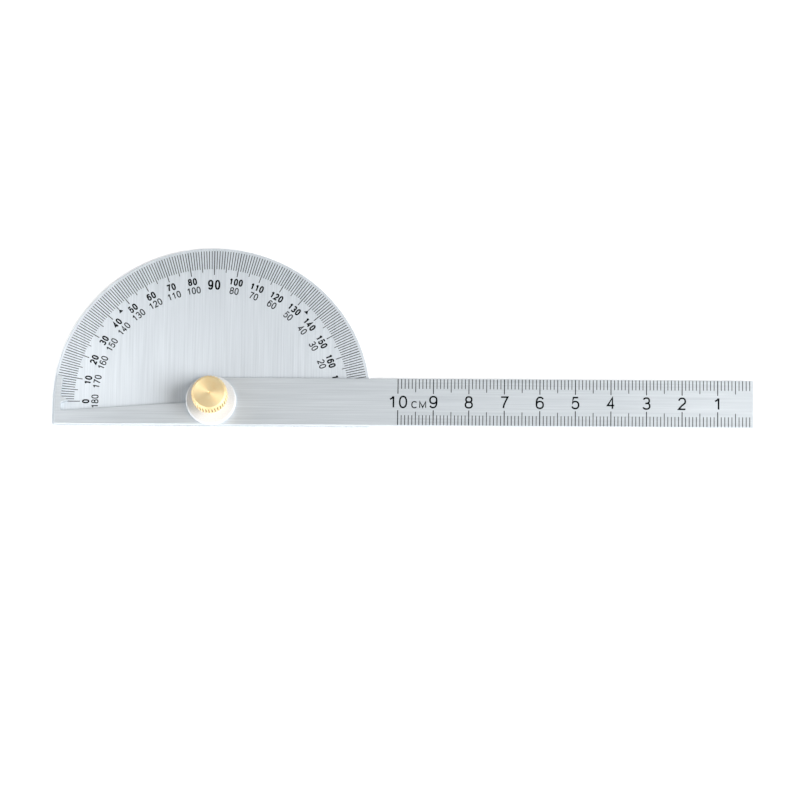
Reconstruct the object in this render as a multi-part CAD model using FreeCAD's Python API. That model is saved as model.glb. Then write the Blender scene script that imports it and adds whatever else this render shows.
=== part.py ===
# Bevel protractor: a half-round dial plate, a rule arm that swings on it with an index at its tail,
# and a clamp made of a stud, a keyed collar with its spring, and a knurled knob.
# Frame: origin on the pivot axis at the back of the dial plate, +X along the arm, +Y to the 90 degree
# mark, +Z out of the dial's face. Lengths are in millimetres, angles in degrees.
import FreeCAD, Part
import math
import os

Vector = FreeCAD.Vector

# Dial plate
dial_radius = 45.0            # pivot to the graduated rim
dial_base_depth = 7.15        # pivot line down to the straight base edge
dial_corner_radius = 1.2      # the two corners of the base
dial_thickness = 1.2
dial_edge_break = 0.2         # chamfer all round the plate, on both faces

# Rule arm
arm_reach = 152.7             # pivot to the free end
arm_width = 13.6
arm_thickness = 1.5
arm_edge_break = 0.12         # chamfer along the upper outline
arm_end_corner_radius = 0.3

# Tail of the arm: a leg that follows the dial's rim, with the index tooth on its inner side
leg_rim_margin = 0.8          # strip of dial left showing outside the leg
leg_width = 1.6
leg_angle = 9.5               # how far the leg runs up the scale from the index line
tail_corner_radius = 0.3
sight_edge_angle = 4.0        # the tail's straight edge lies this far behind the index line
index_length = 2.1            # how far the tooth stands in from the leg
index_half_height = 1.25      # the tooth's root above the index line
notch_depth = 1.45            # the cut under the tooth, below the index line
notch_nose = 0.35             # height of the tooth's blunt underside
notch_corner_radius = 0.4

# Pivot stud, set in the plate from behind
shoulder_radius = 3.0         # journal that the arm turns on
shoulder_relief = 0.1         # the journal stops this far under the arm's face, so the clamp can bite
countersink_share = 0.8       # of the plate's thickness, at 45 degrees
thread_radius = 2.0
thread_flat_width = 3.2       # across the two flats that key the collar
thread_tip_chamfer = 0.4

# Slip washer between the dial and the arm
slip_washer_thickness = 0.15
slip_washer_radius = 6.2

# Collar and the disc spring in its underside
collar_overhang = 0.3         # the collar is this much wider than the arm on each side
collar_thickness = 1.5
collar_edge_radius = 0.4
spring_outer_radius = 5.2
spring_inner_radius = 2.5
spring_sheet = 0.2            # thickness of the spring's steel
spring_height = 0.45          # of the spring as the knob squeezes it

# Clamp knob
knob_neck_radius = 3.6
knob_neck_height = 3.75
knob_head_radius = 5.05
knob_head_height = 4.7
knob_bevel_width = 0.7        # the cone round the knob's top face, across and down
knob_bevel_depth = 0.85
knob_low_chamfer = 0.3        # round the head's underside
knob_roof = 1.3               # closed top over the thread
knob_top_dimple_radius = 0.35
knurl_pitch = 0.88
knurl_depth = 0.3
knurl_flank_angle = 45.0

# Clearances
running_clearance = 0.05      # radial, on the journal, the thread and the collar's key
spring_pocket_clearance = 0.15
thread_end_gap = 0.5          # stud tip to the bottom of the knob's blind hole

# Heights that follow
arm_bottom_z = dial_thickness + slip_washer_thickness
arm_top_z = arm_bottom_z + arm_thickness
collar_top_z = arm_top_z + collar_thickness
knob_head_z = collar_top_z + knob_neck_height
knob_top_z = knob_head_z + knob_head_height
knob_hole_top_z = knob_top_z - knob_roof
stud_tip_z = knob_hole_top_z - thread_end_gap
shoulder_top_z = arm_top_z - shoulder_relief

# Radii that follow
leg_outer_radius = dial_radius - leg_rim_margin
leg_inner_radius = leg_outer_radius - leg_width
collar_radius = arm_width / 2 + collar_overhang
countersink_depth = countersink_share * dial_thickness
stud_head_radius = shoulder_radius + countersink_depth


def polar(radius, angle):
    """Point at this radius and angle from +X, in the XY plane."""
    return Vector(radius * math.cos(math.radians(angle)), radius * math.sin(math.radians(angle)), 0)


def line(start, end):
    return Part.LineSegment(start, end).toShape()


def arc(radius, start_angle, end_angle):
    """Arc about the pivot axis."""
    middle = polar(radius, (start_angle + end_angle) / 2)
    return Part.Arc(polar(radius, start_angle), middle, polar(radius, end_angle)).toShape()


def plate(edges, bottom_z, thickness):
    """Flat plate with this closed outline."""
    outline = Part.Face(Part.Wire(edges))
    outline.translate(Vector(0, 0, bottom_z))
    return outline.extrude(Vector(0, 0, thickness))


def turned(profile):
    """Solid of revolution about the pivot axis, from (radius, z) points."""
    points = [Vector(radius, 0, z) for radius, z in profile]
    face = Part.Face(Part.makePolygon(points + points[:1]))
    return face.revolve(Vector(0, 0, 0), Vector(0, 0, 1), 360)


def cylinder(radius, bottom_z, top_z):
    return Part.makeCylinder(radius, top_z - bottom_z, Vector(0, 0, bottom_z))


def ring(outer_radius, inner_radius, bottom_z, top_z):
    return cylinder(outer_radius, bottom_z, top_z).cut(cylinder(inner_radius, bottom_z, top_z))


def upright_edges(solid, corners):
    """The solid's edges parallel to Z that stand on one of these (x, y) corners."""
    found = []
    for edge in solid.Edges:
        box = edge.BoundBox
        upright = box.XLength < 1e-6 and box.YLength < 1e-6
        if upright and any(math.hypot(box.XMin - x, box.YMin - y) < 1e-3 for x, y in corners):
            found.append(edge)
    return found


def rim_edges(solid, height):
    """The outline edges of the flat face at this height."""
    for face in solid.Faces:
        box = face.BoundBox
        if box.ZLength < 1e-6 and abs(box.ZMin - height) < 1e-6:
            return face.OuterWire.Edges
    return []


def keyed_rod(clearance, bottom_z, top_z):
    """Round rod with two flats: the stud's threaded end, or with a clearance the hole that slides on it."""
    half_width = thread_flat_width / 2 + clearance
    radius = thread_radius + clearance
    corner = Vector(-radius, -half_width, bottom_z)
    slab = Part.makeBox(2 * radius, 2 * half_width, top_z - bottom_z, corner)
    return cylinder(radius, bottom_z, top_z).common(slab)


def stud_seat():
    """What the stud fills inside the plate: the countersunk head and the journal above it."""
    return turned([
        (0, 0),
        (stud_head_radius, 0),
        (shoulder_radius, countersink_depth),
        (shoulder_radius, dial_thickness),
        (0, dial_thickness),
    ])


def make_dial_plate():
    """Half disc on a rectangular base, with the stud's countersunk hole."""
    base_left = Vector(-dial_radius, -dial_base_depth, 0)
    base_right = Vector(dial_radius, -dial_base_depth, 0)
    blank = plate([
        line(base_left, base_right),
        line(base_right, polar(dial_radius, 0)),
        arc(dial_radius, 0, 180),
        line(polar(dial_radius, 180), base_left),
    ], 0, dial_thickness)
    corners = [(base_left.x, base_left.y), (base_right.x, base_right.y)]
    blank = blank.makeFillet(dial_corner_radius, upright_edges(blank, corners))
    outline = rim_edges(blank, 0) + rim_edges(blank, dial_thickness)
    return blank.makeChamfer(dial_edge_break, outline).cut(stud_seat())


def make_pivot_stud():
    """Countersunk head flush with the plate's back, journal for the arm, and threaded end with two flats."""
    journal = cylinder(shoulder_radius, dial_thickness, shoulder_top_z)
    thread = keyed_rod(0, shoulder_top_z, stud_tip_z)
    tip = turned([
        (0, shoulder_top_z),
        (thread_radius, shoulder_top_z),
        (thread_radius, stud_tip_z - thread_tip_chamfer),
        (thread_radius - thread_tip_chamfer, stud_tip_z),
        (0, stud_tip_z),
    ])
    return stud_seat().fuse([journal, thread.common(tip)]).removeSplitter()


def make_slip_washer():
    """Thin ring that holds the arm clear of the graduations."""
    inner_radius = shoulder_radius + running_clearance
    return ring(slip_washer_radius, inner_radius, dial_thickness, arm_bottom_z)


def make_swing_arm():
    """Straight rule with a round end at the pivot, and a tail that carries the index along the dial's rim."""
    half_width = arm_width / 2
    tail_x = -leg_outer_radius
    leg_x = -leg_inner_radius
    sight_slope = math.tan(math.radians(sight_edge_angle))
    sight_root = Vector(leg_x, leg_x * sight_slope, 0)
    index_tip = Vector(leg_x + index_length, 0, 0)
    tooth_root_angle = 180 - math.degrees(math.asin(index_half_height / leg_inner_radius))
    leg_end_angle = 180 - leg_angle
    sight_end_angle = 180 + sight_edge_angle
    notch_radius = notch_depth - notch_nose
    notch_bottom = Vector(leg_x, -notch_depth, 0)
    notch_top = Vector(leg_x + notch_radius, -notch_nose, 0)
    notch_middle = Vector(leg_x + notch_radius * (1 - math.cos(math.radians(45))),
                          -notch_depth + notch_radius * math.sin(math.radians(45)), 0)
    tail_corner = Vector(tail_x, -half_width, 0)
    end_low = Vector(arm_reach, -half_width, 0)
    end_high = Vector(arm_reach, half_width, 0)
    blank = plate([
        line(tail_corner, end_low),
        line(end_low, end_high),
        line(end_high, polar(half_width, 90)),
        arc(half_width, 90, sight_end_angle),
        line(polar(half_width, sight_end_angle), sight_root),
        line(sight_root, notch_bottom),
        Part.Arc(notch_bottom, notch_middle, notch_top).toShape(),
        line(notch_top, index_tip),
        line(index_tip, polar(leg_inner_radius, tooth_root_angle)),
        arc(leg_inner_radius, tooth_root_angle, leg_end_angle),
        line(polar(leg_inner_radius, leg_end_angle), polar(leg_outer_radius, leg_end_angle)),
        arc(leg_outer_radius, leg_end_angle, 180),
        line(polar(leg_outer_radius, 180), tail_corner),
    ], arm_bottom_z, arm_thickness)
    ends = [(end_low.x, end_low.y), (end_high.x, end_high.y)]
    blank = blank.makeFillet(arm_end_corner_radius, upright_edges(blank, ends))
    blank = blank.makeFillet(tail_corner_radius, upright_edges(blank, [(tail_corner.x, tail_corner.y)]))
    blank = blank.makeFillet(notch_corner_radius, upright_edges(blank, [(sight_root.x, sight_root.y)]))
    blank = blank.makeChamfer(arm_edge_break, rim_edges(blank, arm_top_z))
    return blank.cut(cylinder(shoulder_radius + running_clearance, arm_bottom_z, arm_top_z))


def make_disc_spring():
    """Dished washer, wide side down on the arm, squeezed in the collar's pocket."""
    inner_top = arm_top_z + spring_height
    return turned([
        (spring_outer_radius, arm_top_z),
        (spring_outer_radius, arm_top_z + spring_sheet),
        (spring_inner_radius, inner_top),
        (spring_inner_radius, inner_top - spring_sheet),
    ])


def make_clamp_collar():
    """Thick washer keyed to the stud's flats, with a pocket below for the disc spring."""
    body = cylinder(collar_radius, arm_top_z, collar_top_z)
    body = body.makeFillet(collar_edge_radius, rim_edges(body, collar_top_z))
    pocket = cylinder(spring_outer_radius + spring_pocket_clearance, arm_top_z, arm_top_z + spring_height)
    return body.cut(pocket).cut(keyed_rod(running_clearance, arm_top_z, collar_top_z))


def knurl_cutter(angle):
    """One V groove down the side of the knob's head."""
    reach = 2 * knurl_depth
    half_width = reach * math.tan(math.radians(knurl_flank_angle))
    root = knob_head_radius - knurl_depth
    points = [
        Vector(root, 0, knob_head_z),
        Vector(root + reach, -half_width, knob_head_z),
        Vector(root + reach, half_width, knob_head_z),
    ]
    groove = Part.Face(Part.makePolygon(points + points[:1])).extrude(Vector(0, 0, knob_head_height))
    groove.rotate(Vector(0, 0, 0), Vector(0, 0, 1), angle)
    return groove


def make_clamp_knob():
    """Tall knurled nut: a narrow neck on the collar, a knurled head, and a closed, bevelled top."""
    body = turned([
        (0, collar_top_z),
        (knob_neck_radius, collar_top_z),
        (knob_neck_radius, knob_head_z),
        (knob_head_radius - knob_low_chamfer, knob_head_z),
        (knob_head_radius, knob_head_z + knob_low_chamfer),
        (knob_head_radius, knob_top_z - knob_bevel_depth),
        (knob_head_radius - knob_bevel_width, knob_top_z),
        (knob_top_dimple_radius, knob_top_z),
        (0, knob_top_z - knob_top_dimple_radius),
    ])
    groove_count = round(2 * math.pi * knob_head_radius / knurl_pitch)
    grooves = [knurl_cutter(360 * number / groove_count) for number in range(groove_count)]
    hole = cylinder(thread_radius + running_clearance, collar_top_z, knob_hole_top_z)
    return body.cut(grooves).cut(hole)


parts = {
    "dial_plate": make_dial_plate(),
    "pivot_stud": make_pivot_stud(),
    "slip_washer": make_slip_washer(),
    "swing_arm": make_swing_arm(),
    "disc_spring": make_disc_spring(),
    "clamp_collar": make_clamp_collar(),
    "clamp_knob": make_clamp_knob(),
}

os.makedirs("parts", exist_ok=True)
for name, shape in parts.items():
    shape.exportStep(os.path.join("parts", name + ".step"))
    print(name, "solids", len(shape.Solids), "valid", shape.isValid(), "volume", round(shape.Volume, 2))
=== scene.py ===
import math
from collections import namedtuple

import bpy
from mathutils import Matrix, Vector


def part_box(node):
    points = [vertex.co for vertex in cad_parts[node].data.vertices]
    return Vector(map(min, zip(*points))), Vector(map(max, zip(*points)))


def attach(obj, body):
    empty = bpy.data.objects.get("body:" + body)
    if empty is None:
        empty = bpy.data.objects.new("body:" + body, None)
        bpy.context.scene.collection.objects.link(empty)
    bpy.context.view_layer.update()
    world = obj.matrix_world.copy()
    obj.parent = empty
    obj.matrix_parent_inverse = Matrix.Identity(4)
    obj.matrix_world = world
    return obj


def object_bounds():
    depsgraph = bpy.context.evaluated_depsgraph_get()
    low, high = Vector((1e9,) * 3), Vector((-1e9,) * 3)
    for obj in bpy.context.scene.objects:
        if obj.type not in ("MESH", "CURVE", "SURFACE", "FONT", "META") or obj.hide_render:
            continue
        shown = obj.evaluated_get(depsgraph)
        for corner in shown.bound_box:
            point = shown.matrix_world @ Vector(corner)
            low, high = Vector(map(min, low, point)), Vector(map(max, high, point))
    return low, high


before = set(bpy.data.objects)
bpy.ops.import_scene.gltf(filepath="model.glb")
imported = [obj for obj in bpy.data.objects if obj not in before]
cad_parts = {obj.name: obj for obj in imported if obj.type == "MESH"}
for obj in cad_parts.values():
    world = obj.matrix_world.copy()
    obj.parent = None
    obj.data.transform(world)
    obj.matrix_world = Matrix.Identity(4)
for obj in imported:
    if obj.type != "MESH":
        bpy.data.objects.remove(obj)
cad_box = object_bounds()

MM = 0.001

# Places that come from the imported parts
dial_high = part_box("dial_plate")[1]
arm_low, arm_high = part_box("swing_arm")
knob_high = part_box("clamp_knob")[1]
DIAL_RADIUS = dial_high.x
DIAL_FACE = dial_high.z
ARM_FACE = arm_high.z
ARM_END = arm_high.x
ARM_HALF_WIDTH = -arm_low.y
KNOB_RADIUS = knob_high.x
KNOB_TOP = knob_high.z

# The knob's knurl, and the bevel between it and the top face
KNURL_DEPTH = 0.3 * MM
KNOB_BEVEL_DEPTH = 0.85 * MM

# The ink of the scales, above and below the steel's face
INK_HEIGHT = 0.012 * MM
INK_DEPTH = 0.006 * MM
MITRE_LIMIT = 0.4

# Characters: height, width of a numeral, width of the stroke and gap between two characters
Lettering = namedtuple("Lettering", "height width stroke gap")

# Dial scale: degree lines all end near the rim, and the longer ones reach further in
LINE_OUTER_RADIUS = DIAL_RADIUS - 0.8 * MM
DEGREE_INNER_RADIUS = DIAL_RADIUS - 6.1 * MM
FIVE_INNER_RADIUS = DIAL_RADIUS - 7.0 * MM
TEN_INNER_RADIUS = DIAL_RADIUS - 7.8 * MM
DEGREE_LINE_WIDTH = 0.19 * MM
TEN_LINE_WIDTH = 0.22 * MM
OUTER_NUMERAL_RADIUS = DIAL_RADIUS - 9.4 * MM
INNER_NUMERAL_RADIUS = DIAL_RADIUS - 12.0 * MM
RIGHT_ANGLE_RADIUS = DIAL_RADIUS - 10.7 * MM
OUTER_LETTERING = Lettering(2.1 * MM, 1.2 * MM, 0.42 * MM, 0.18 * MM)
INNER_LETTERING = Lettering(2.05 * MM, 1.17 * MM, 0.29 * MM, 0.2 * MM)
RIGHT_ANGLE_LETTERING = Lettering(2.95 * MM, 1.55 * MM, 0.5 * MM, 0.42 * MM)
POINTER_WIDTH = 1.3 * MM
POINTER_HEIGHT = 1.05 * MM

# Arm scale: millimetres counted from the free end, along both edges
SCALE_LENGTH_MM = 100
LINE_MARGIN = 0.12 * MM
MM_LINE = 2.85 * MM
FIVE_MM_LINE = 3.85 * MM
CM_LINE = 4.3 * MM
MM_LINE_WIDTH = 0.2 * MM
CM_LINE_WIDTH = 0.25 * MM
CM_LETTERING = Lettering(3.65 * MM, 2.35 * MM, 0.46 * MM, 0.6 * MM)
UNIT_LETTERING = Lettering(2.1 * MM, 1.6 * MM, 0.31 * MM, 0.5 * MM)
UNIT_PLACE_MM = SCALE_LENGTH_MM - 5.9

# The camera that took the photo: angles in degrees from the front and from the floor, lens in millimetres
CAMERA_AIM = Vector((0.05325, 0.00097, DIAL_FACE))
CAMERA_AZIMUTH = 7.67
CAMERA_ELEVATION = 75.9
CAMERA_ROLL = 0.38
CAMERA_DISTANCE = 1.5814
CAMERA_LENS = 252.3
CAMERA_SENSOR = 36

# The room's light: axis, where a ramp starts and ends on it, and the strength on either side
ROOM_TINT = (0.97, 0.985, 1, 1)
ROOM_RAMPS = (
    ("Z", 0.35, 0.5, 1, 0.19),
    ("Z", 0.7, 0.85, 1, 0.5),
    ("Y", 0, 0.6, 1, 0.4),
)

FLOOR_HALF_SIZE = 3
FLOOR_GAP = 0.0001


# ---- Lettering: numerals drawn as strokes in a unit box, one line of points per stroke ---------

ARC_STEP = 15
OVAL_POWER = 2.3


def bow(x, y, half_width, half_height, start, end):
    """Points along an oval slightly fuller than an ellipse, between two angles in degrees."""
    steps = max(2, round(abs(end - start) / ARC_STEP))
    points = []
    for step in range(steps + 1):
        angle = math.radians(start + (end - start) * step / steps)
        across = math.copysign(abs(math.cos(angle)) ** (2 / OVAL_POWER), math.cos(angle))
        up = math.copysign(abs(math.sin(angle)) ** (2 / OVAL_POWER), math.sin(angle))
        points.append((x + half_width * across, y + half_height * up))
    return points


def turned_over(strokes):
    """The same strokes after half a turn, so that a 6 gives a 9."""
    return [[(1 - x, 1 - y) for x, y in stroke] for stroke in strokes]


SIX = [
    bow(0.5, 0.31, 0.5, 0.31, 0, 360),
    bow(0.54, 0.5, 0.54, 0.5, 38, 180) + [(0, 0.31)],
]
GLYPHS = {
    "0": [bow(0.5, 0.5, 0.5, 0.5, 0, 360)],
    "1": [[(0.1, 0.74), (0.4, 0.83), (0.63, 1)], [(0.63, 1), (0.63, 0)]],
    "2": [bow(0.5, 0.71, 0.47, 0.29, 170, -32) + [(0.42, 0.3), (0, 0), (1, 0)]],
    "3": [
        bow(0.48, 0.755, 0.43, 0.245, 160, -90) + [(0.32, 0.51)],
        bow(0.48, 0.265, 0.5, 0.265, 85, -160),
    ],
    "4": [[(0.72, 0), (0.72, 1), (0, 0.3), (1, 0.3)]],
    "5": [[(0.92, 1), (0.2, 1), (0.08, 0.5)] + bow(0.48, 0.32, 0.5, 0.32, 135, -160)],
    "6": SIX,
    "7": [[(0, 1), (1, 1), (0.64, 0.56), (0.44, 0.26), (0.36, 0)]],
    "8": [bow(0.5, 0.755, 0.43, 0.245, 0, 360), bow(0.5, 0.265, 0.5, 0.265, 0, 360)],
    "9": turned_over(SIX),
    "C": [bow(0.52, 0.5, 0.52, 0.5, 42, 318)],
    "M": [[(0, 0), (0, 1), (0.5, 0.06), (1, 1), (1, 0)]],
}
GLYPH_WIDTH = {"C": 1.08, "M": 1.23}      # wider than a numeral by this much


def mitre(before, point, after, half_width):
    """Offset of a stroke's left edge at a point, square at its ends and mitred at its corners."""
    directions = []
    if before is not None:
        directions.append((point - before).normalized())
    if after is not None:
        directions.append((after - point).normalized())
    mean = sum(directions, Vector((0, 0))).normalized()
    stretch = max(MITRE_LIMIT, mean.dot(directions[0]))
    return Vector((-mean.y, mean.x)) * (half_width / stretch)


def add_stroke(marks, line, width, place):
    """Adds one flat bar of ink along a line of 2-D points. A line that ends at its start is a ring."""
    points = [Vector(p) for p in line]
    ring = len(points) > 2 and (points[0] - points[-1]).length < width * 1e-3
    if ring:
        points.pop()
    count = len(points)
    first = len(marks["points"])
    for i, point in enumerate(points):
        before = points[i - 1] if ring or i else None
        after = points[(i + 1) % count] if ring or i < count - 1 else None
        side = mitre(before, point, after, width / 2)
        for z in (INK_HEIGHT, -INK_DEPTH):
            for corner in (point + side, point - side):
                marks["points"].append(place @ Vector((corner.x, corner.y, z)))
    for i in range(count if ring else count - 1):
        a = first + 4 * i
        b = first + 4 * ((i + 1) % count)
        marks["faces"] += [
            (a, a + 1, b + 1, b),
            (a + 2, b + 2, b + 3, a + 3),
            (a, b, b + 2, a + 2),
            (a + 1, a + 3, b + 3, b + 1),
        ]
    if not ring:
        last = first + 4 * (count - 1)
        marks["faces"] += [
            (first, first + 2, first + 3, first + 1),
            (last, last + 1, last + 3, last + 2),
        ]


def add_text(marks, text, lettering, place):
    """Adds characters side by side, centred on the place's origin."""
    height, width, stroke, gap = lettering
    widths = [width * GLYPH_WIDTH.get(letter, 1) for letter in text]
    left = -(sum(widths) + gap * (len(text) - 1)) / 2
    for letter, glyph_width in zip(text, widths):
        for line in GLYPHS[letter]:
            fitted = [
                (left + stroke / 2 + x * (glyph_width - stroke), (y - 0.5) * (height - stroke))
                for x, y in line
            ]
            add_stroke(marks, fitted, stroke, place)
        left += glyph_width + gap


def new_marks():
    """Points and faces of ink, collected here before they become one piece."""
    return {"points": [], "faces": []}


def lay_marks(name, marks, body, material):
    """Makes a piece of the collected ink."""
    mesh = bpy.data.meshes.new(name)
    mesh.from_pydata(marks["points"], [], marks["faces"])
    mesh.materials.append(material)
    piece = bpy.data.objects.new(name, mesh)
    bpy.context.scene.collection.objects.link(piece)
    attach(piece, body)


# ---- Materials ---------------------------------------------------------------------------------


class Nodes:
    """A short way to write one material's node tree."""

    def __init__(self, name):
        self.material = bpy.data.materials.new(name)
        self.material.use_nodes = True
        self.tree = self.material.node_tree
        self.shader = self.tree.nodes["Principled BSDF"]
        self.place = self.add("ShaderNodeTexCoord").outputs["Object"]

    def add(self, kind, **settings):
        """A new node with these settings."""
        node = self.tree.nodes.new(kind)
        for key, value in settings.items():
            setattr(node, key, value)
        return node

    def join(self, source, socket):
        self.tree.links.new(source, socket)

    def noise(self, scale, detail, where=None):
        """Noise over the object, stretched by a scale for each axis."""
        mapping = self.add("ShaderNodeMapping")
        mapping.inputs["Scale"].default_value = scale
        self.join(where or self.place, mapping.inputs["Vector"])
        texture = self.add("ShaderNodeTexNoise")
        texture.inputs["Scale"].default_value = 1
        texture.inputs["Detail"].default_value = detail
        self.join(mapping.outputs["Vector"], texture.inputs["Vector"])
        return texture.outputs["Fac"]

    def spread(self, value, low, high, source=(0.3, 0.7)):
        """A value mapped from its source range, by default the one that noise fills, to another."""
        node = self.add("ShaderNodeMapRange")
        node.inputs["From Min"].default_value = source[0]
        node.inputs["From Max"].default_value = source[1]
        node.inputs["To Min"].default_value = low
        node.inputs["To Max"].default_value = high
        self.join(value, node.inputs["Value"])
        return node.outputs["Result"]

    def tint(self, value, dark, light):
        """A colour between two, by a value from 0 to 1."""
        node = self.add("ShaderNodeMix", data_type="RGBA")
        node.inputs["A"].default_value = (*dark, 1)
        node.inputs["B"].default_value = (*light, 1)
        self.join(value, node.inputs["Factor"])
        return node.outputs["Result"]

    def larger(self, first, second):
        """The larger of two values."""
        node = self.add("ShaderNodeMath", operation="MAXIMUM")
        self.join(first, node.inputs[0])
        self.join(second, node.inputs[1])
        return node.outputs[0]

    def bump(self, height, distance, strength):
        """Relief of the surface, from noise."""
        node = self.add("ShaderNodeBump")
        node.inputs["Strength"].default_value = strength
        node.inputs["Distance"].default_value = distance
        self.join(height, node.inputs["Height"])
        self.join(node.outputs["Normal"], self.shader.inputs["Normal"])

    def colour(self, value, dark, light):
        """Base colour between two, by a value from 0 to 1."""
        self.join(self.tint(value, dark, light), self.shader.inputs["Base Color"])

    def roughness(self, value, low, high):
        """Roughness in a range, by a value from noise."""
        self.join(self.spread(value, low, high), self.shader.inputs["Roughness"])

    def fixed(self, **values):
        """Constants of the shader. A space in an input's name is written as an underscore."""
        for name, value in values.items():
            self.shader.inputs[name.replace("_", " ")].default_value = value


def brushed_steel(name, dark, light, streak, glint):
    """Steel with fine parallel scratches. streak scales the noise along X, Y and Z, and glint is the
    direction that highlights spread in, across the scratches."""
    n = Nodes(name)
    fine = n.noise(streak, 4)
    broad = n.noise([s / 9 for s in streak], 3)
    both = n.add("ShaderNodeMath", operation="ADD")
    n.join(n.spread(fine, 0, 0.8), both.inputs[0])
    n.join(n.spread(broad, 0, 0.2), both.inputs[1])
    n.colour(both.outputs[0], dark, light)
    n.roughness(fine, 0.56, 0.6)
    n.bump(fine, 0.002 * MM, 0.5)
    n.fixed(Metallic=0.65, Anisotropic=0.5)
    direction = n.add(
        "ShaderNodeVectorTransform", vector_type="VECTOR", convert_from="OBJECT", convert_to="WORLD")
    direction.inputs[0].default_value = glint
    n.join(direction.outputs[0], n.shader.inputs["Tangent"])
    return n.material


def dial_steel():
    """Scratched along Y, towards the right-angle mark."""
    return brushed_steel(
        "dial_steel",
        dark=(0.66, 0.705, 0.745),
        light=(0.79, 0.835, 0.875),
        streak=(2400, 40, 40),
        glint=(1, 0, 0),
    )


def arm_steel():
    """Scratched along X, the length of the arm."""
    return brushed_steel(
        "arm_steel",
        dark=(0.60, 0.64, 0.67),
        light=(0.73, 0.77, 0.80),
        streak=(40, 2400, 40),
        glint=(0, 1, 0),
    )


def collar_metal():
    """Blasted pale metal, with a fine matt grain that scatters most of the light."""
    n = Nodes("collar_metal")
    grain = n.noise((3000, 3000, 3000), 3)
    n.colour(n.spread(grain, 0, 1), (0.69, 0.71, 0.73), (0.77, 0.79, 0.81))
    n.roughness(grain, 0.45, 0.6)
    n.bump(grain, 0.002 * MM, 0.4)
    n.fixed(Metallic=0.2)
    return n.material


def clear_of_grooves(n, radius):
    """1 on the knurl's ridges, on the neck inside them and on the bevel and face above, 0 in the grooves,
    where the colour is darkened as painted shade.
    """
    split = n.add("ShaderNodeSeparateXYZ")
    n.join(n.place, split.inputs[0])
    blend = 0.1 * MM
    # Radius where the painted shade of the grooves begins, a little inside their bottom
    shade_start = KNOB_RADIUS - KNURL_DEPTH - 0.2 * MM
    groove_bottom = KNOB_RADIUS - KNURL_DEPTH + 0.02 * MM
    knurl_top = KNOB_TOP - KNOB_BEVEL_DEPTH
    ridge = n.spread(radius, 0, 1, (groove_bottom, KNOB_RADIUS))
    inside = n.spread(radius, 1, 0, (shade_start - blend, shade_start))
    above = n.spread(split.outputs["Z"], 0, 1, (knurl_top - blend / 2, knurl_top + blend / 2))
    return n.larger(n.larger(ridge, inside), above)


def knob_brass():
    """Brass faced on a lathe: fine rings round the axis that spread highlights outwards, and painted shade
    that darkens the grooves of the knurl."""
    n = Nodes("knob_brass")
    flat = n.add("ShaderNodeVectorMath", operation="MULTIPLY")
    flat.inputs[1].default_value = (1, 1, 0)
    n.join(n.place, flat.inputs[0])
    length = n.add("ShaderNodeVectorMath", operation="LENGTH")
    n.join(flat.outputs["Vector"], length.inputs[0])
    radius = length.outputs["Value"]
    rings = n.noise((6000, 1, 1), 4, radius)
    wear = n.noise((500, 500, 500), 4)
    brass = n.tint(n.spread(wear, 0, 1), (0.97, 0.73, 0.38), (1.0, 0.82, 0.49))
    # Painted shade: a dark brown laid into the knurl's grooves, where shade falls between the ridges
    groove_shade = n.add("ShaderNodeMix", data_type="RGBA")
    groove_shade.inputs["A"].default_value = (0.30, 0.17, 0.06, 1)
    n.join(brass, groove_shade.inputs["B"])
    n.join(clear_of_grooves(n, radius), groove_shade.inputs["Factor"])
    n.join(groove_shade.outputs["Result"], n.shader.inputs["Base Color"])
    n.roughness(rings, 0.48, 0.56)
    n.bump(rings, 0.003 * MM, 0.5)
    n.fixed(Metallic=0.65, Anisotropic=0.62, Anisotropic_Rotation=0.25)
    round_axis = n.add("ShaderNodeTangent", direction_type="RADIAL", axis="Z")
    n.join(round_axis.outputs[0], n.shader.inputs["Tangent"])
    return n.material


def plain_metal(name, dark, light, roughness):
    """Turned or rolled steel of the small pieces that hardly show."""
    n = Nodes(name)
    grain = n.noise((1500, 1500, 1500), 4)
    n.colour(n.spread(grain, 0, 1), dark, light)
    n.roughness(grain, roughness - 0.06, roughness + 0.06)
    n.fixed(Metallic=1)
    return n.material


def slip_film():
    """Natural polymer film of the washer between the plates."""
    n = Nodes("slip_film")
    grain = n.noise((900, 900, 900), 3)
    n.colour(n.spread(grain, 0, 1), (0.74, 0.72, 0.66), (0.82, 0.80, 0.74))
    n.fixed(Roughness=0.5)
    return n.material


def scale_ink():
    """Black lines, a little uneven."""
    n = Nodes("scale_black")
    patches = n.noise((2500, 2500, 2500), 3)
    n.colour(n.spread(patches, 0, 1), (0.002, 0.003, 0.004), (0.006, 0.008, 0.010))
    n.roughness(patches, 0.4, 0.6)
    n.fixed(Specular_IOR_Level=0.05)
    return n.material


def dress_parts():
    """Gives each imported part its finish."""
    finishes = {
        "dial_plate": dial_steel(),
        "swing_arm": arm_steel(),
        "clamp_collar": collar_metal(),
        "clamp_knob": knob_brass(),
        "pivot_stud": plain_metal("stud_steel", (0.52, 0.53, 0.55), (0.66, 0.67, 0.69), 0.32),
        "disc_spring": plain_metal("spring_steel", (0.30, 0.31, 0.33), (0.42, 0.43, 0.45), 0.4),
        "slip_washer": slip_film(),
    }
    for node, material in finishes.items():
        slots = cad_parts[node].data.materials
        slots.clear()
        slots.append(material)


# ---- Scales ------------------------------------------------------------------------------------


def dial_place(degrees, radius):
    """Place on the dial's face at a scale reading, upright for numerals whose tops face outwards."""
    turn = Matrix.Rotation(math.radians(90 - degrees), 4, "Z")
    return turn @ Matrix.Translation((0, radius, DIAL_FACE))


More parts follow.
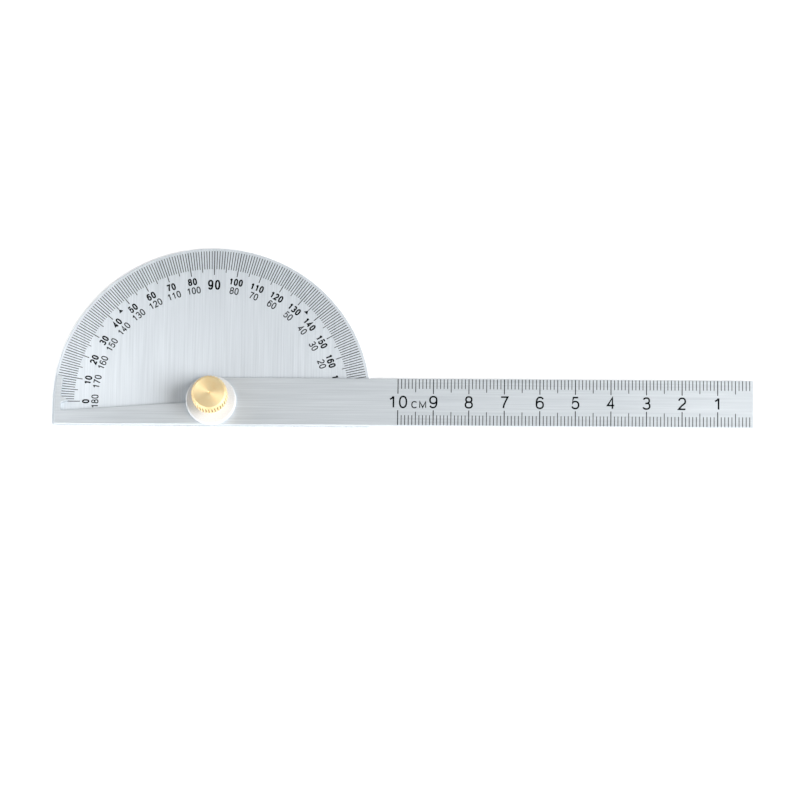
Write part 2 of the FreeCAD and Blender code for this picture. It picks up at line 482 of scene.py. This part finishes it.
def mark_degrees(ink):
    """A line for each degree, with longer ones at the fives and the tens."""
    marks = new_marks()
    for degrees in range(181):
        inner = DEGREE_INNER_RADIUS
        width = DEGREE_LINE_WIDTH
        if degrees % 5 == 0:
            inner = FIVE_INNER_RADIUS
        if degrees % 10 == 0:
            inner = TEN_INNER_RADIUS
            width = TEN_LINE_WIDTH
        add_stroke(marks, [(0, inner), (0, LINE_OUTER_RADIUS)], width, dial_place(degrees, 0))
    lay_marks("dial_degree_lines", marks, "dial", ink)


def mark_numerals(ink):
    """Two rings of readings that count in opposite directions, and one large 90 for both."""
    outer = new_marks()
    inner = new_marks()
    for reading in range(0, 181, 10):
        if reading == 90:
            continue
        outer_place = dial_place(reading, OUTER_NUMERAL_RADIUS)
        inner_place = dial_place(reading, INNER_NUMERAL_RADIUS)
        add_text(outer, str(reading), OUTER_LETTERING, outer_place)
        add_text(inner, str(180 - reading), INNER_LETTERING, inner_place)
    add_text(outer, "90", RIGHT_ANGLE_LETTERING, dial_place(90, RIGHT_ANGLE_RADIUS))
    lay_marks("dial_outer_numerals", outer, "dial", ink)
    lay_marks("dial_inner_numerals", inner, "dial", ink)


def mark_pointers(ink):
    """Small solid triangles with their tips at the lines of half a right angle."""
    marks = new_marks()
    for reading in (45, 135):
        place = dial_place(reading, FIVE_INNER_RADIUS)
        first = len(marks["points"])
        for z in (INK_HEIGHT, -INK_DEPTH):
            for x, y in ((-0.5, -1), (0.5, -1), (0, 0)):
                marks["points"].append(place @ Vector((x * POINTER_WIDTH, y * POINTER_HEIGHT, z)))
        a, b, c, d, e, f = range(first, first + 6)
        marks["faces"] += [(a, b, c), (d, f, e), (a, d, e, b), (b, e, f, c), (c, f, d, a)]
    lay_marks("dial_pointers", marks, "dial", ink)


def arm_place(millimetres, y):
    """Place on the arm's face, at a distance from the free end."""
    return Matrix.Translation((ARM_END - millimetres * MM, y, ARM_FACE))


def mark_millimetres(ink):
    """A line for each millimetre on both edges, with longer ones at the fives and the tens."""
    for name, side in (("arm_lines_upper", 1), ("arm_lines_lower", -1)):
        marks = new_marks()
        edge = side * (ARM_HALF_WIDTH - LINE_MARGIN)
        for millimetres in range(1, SCALE_LENGTH_MM + 1):
            length = MM_LINE
            width = MM_LINE_WIDTH
            if millimetres % 5 == 0:
                length = FIVE_MM_LINE
            if millimetres % 10 == 0:
                length = CM_LINE
                width = CM_LINE_WIDTH
            line = [(0, edge - side * length), (0, edge)]
            add_stroke(marks, line, width, arm_place(millimetres, 0))
        lay_marks(name, marks, "arm", ink)


def mark_centimetres(ink):
    """A numeral on each centimetre line, and the unit on the same base line beside the last one."""
    marks = new_marks()
    for centimetres in range(1, SCALE_LENGTH_MM // 10 + 1):
        add_text(marks, str(centimetres), CM_LETTERING, arm_place(10 * centimetres, 0))
    unit_y = (UNIT_LETTERING.height - CM_LETTERING.height) / 2
    add_text(marks, "CM", UNIT_LETTERING, arm_place(UNIT_PLACE_MM, unit_y))
    lay_marks("arm_numerals", marks, "arm", ink)


# ---- Stage -------------------------------------------------------------------------------------


def set_camera():
    """A long lens above the dial, leaning back so that the base edge is nearest."""
    azimuth = math.radians(CAMERA_AZIMUTH)
    elevation = math.radians(CAMERA_ELEVATION)
    back = Vector((
        math.sin(azimuth) * math.cos(elevation),
        -math.cos(azimuth) * math.cos(elevation),
        math.sin(elevation),
    ))
    level = (Vector((1, 0, 0)) - back * back.x).normalized()
    right = Matrix.Rotation(math.radians(CAMERA_ROLL), 3, back) @ level
    up = back.cross(right)
    data = bpy.data.cameras.new("camera")
    data.lens = CAMERA_LENS
    data.sensor_width = CAMERA_SENSOR
    data.clip_start = 0.05
    data.clip_end = 20
    camera = bpy.data.objects.new("camera", data)
    bpy.context.scene.collection.objects.link(camera)
    axes = Matrix((right, up, back)).transposed().to_4x4()
    camera.matrix_world = Matrix.Translation(CAMERA_AIM + back * CAMERA_DISTANCE) @ axes
    bpy.context.scene.camera = camera


def soft_light(name, azimuth, elevation, distance, size, power):
    """A square softbox that faces the pivot, placed by degrees from +X and from the floor."""
    data = bpy.data.lights.new(name, "AREA")
    data.size = size
    data.energy = power
    light = bpy.data.objects.new(name, data)
    light.visible_camera = False
    bpy.context.scene.collection.objects.link(light)
    turn = math.radians(azimuth)
    rise = math.radians(elevation)
    towards = Vector((
        math.cos(rise) * math.cos(turn),
        math.cos(rise) * math.sin(turn),
        math.sin(rise),
    ))
    light.location = towards * distance
    light.rotation_mode = "QUATERNION"
    light.rotation_quaternion = towards.to_track_quat("Z", "Y")


def set_room():
    """A dim ceiling over walls that are bright near the horizon, except behind the object."""
    world = bpy.data.worlds.new("room")
    world.use_nodes = True
    nodes, links = world.node_tree.nodes, world.node_tree.links
    background = nodes["Background"]
    background.inputs["Color"].default_value = ROOM_TINT
    direction = nodes.new("ShaderNodeTexCoord")
    split = nodes.new("ShaderNodeSeparateXYZ")
    links.new(direction.outputs["Generated"], split.inputs[0])
    ramps = []
    for axis, start, end, before, after in ROOM_RAMPS:
        ramp = nodes.new("ShaderNodeMapRange")
        ramp.inputs["From Min"].default_value = start
        ramp.inputs["From Max"].default_value = end
        ramp.inputs["To Min"].default_value = before
        ramp.inputs["To Max"].default_value = after
        links.new(split.outputs[axis], ramp.inputs["Value"])
        ramps.append(ramp.outputs["Result"])
    strength = ramps[0]
    for ramp in ramps[1:]:
        product = nodes.new("ShaderNodeMath")
        product.operation = "MULTIPLY"
        links.new(strength, product.inputs[0])
        links.new(ramp, product.inputs[1])
        strength = product.outputs[0]
    links.new(strength, background.inputs["Strength"])
    bpy.context.scene.world = world


def set_lights():
    """A strong key from the right, and small fills. The left one stands so close that it reaches little
    more than the dial's left end."""
    set_room()
    soft_light("key", azimuth=-15, elevation=47, distance=0.7, size=0.37, power=5.2)
    soft_light("left", azimuth=163, elevation=35, distance=0.1, size=0.05, power=0.018)
    soft_light("front", azimuth=-80, elevation=65, distance=0.5, size=0.2, power=0.3)
    soft_light("low_left", azimuth=-135, elevation=25, distance=0.3, size=0.2, power=0.35)


def set_floor():
    """Plain white floor just under the plate's back, with a faint glow that keeps its far parts white."""
    size = FLOOR_HALF_SIZE
    mesh = bpy.data.meshes.new("floor")
    corners = [(-size, -size, 0), (size, -size, 0), (size, size, 0), (-size, size, 0)]
    mesh.from_pydata(corners, [], [(0, 1, 2, 3)])
    floor = bpy.data.objects.new("floor", mesh)
    floor.location.z = cad_box[0].z - FLOOR_GAP
    bpy.context.scene.collection.objects.link(floor)
    n = Nodes("floor")
    n.fixed(Base_Color=(0.93, 0.93, 0.93, 1), Roughness=0.9)
    n.fixed(Emission_Color=(1, 1, 1, 1), Emission_Strength=0.2)
    mesh.materials.append(n.material)


def set_colours():
    """Plain colours, without a film curve."""
    settings = bpy.context.scene.view_settings
    settings.view_transform = "Standard"
    settings.look = "None"


dress_parts()
ink = scale_ink()
mark_degrees(ink)
mark_numerals(ink)
mark_pointers(ink)
mark_millimetres(ink)
mark_centimetres(ink)
set_camera()
set_lights()
set_floor()
set_colours()
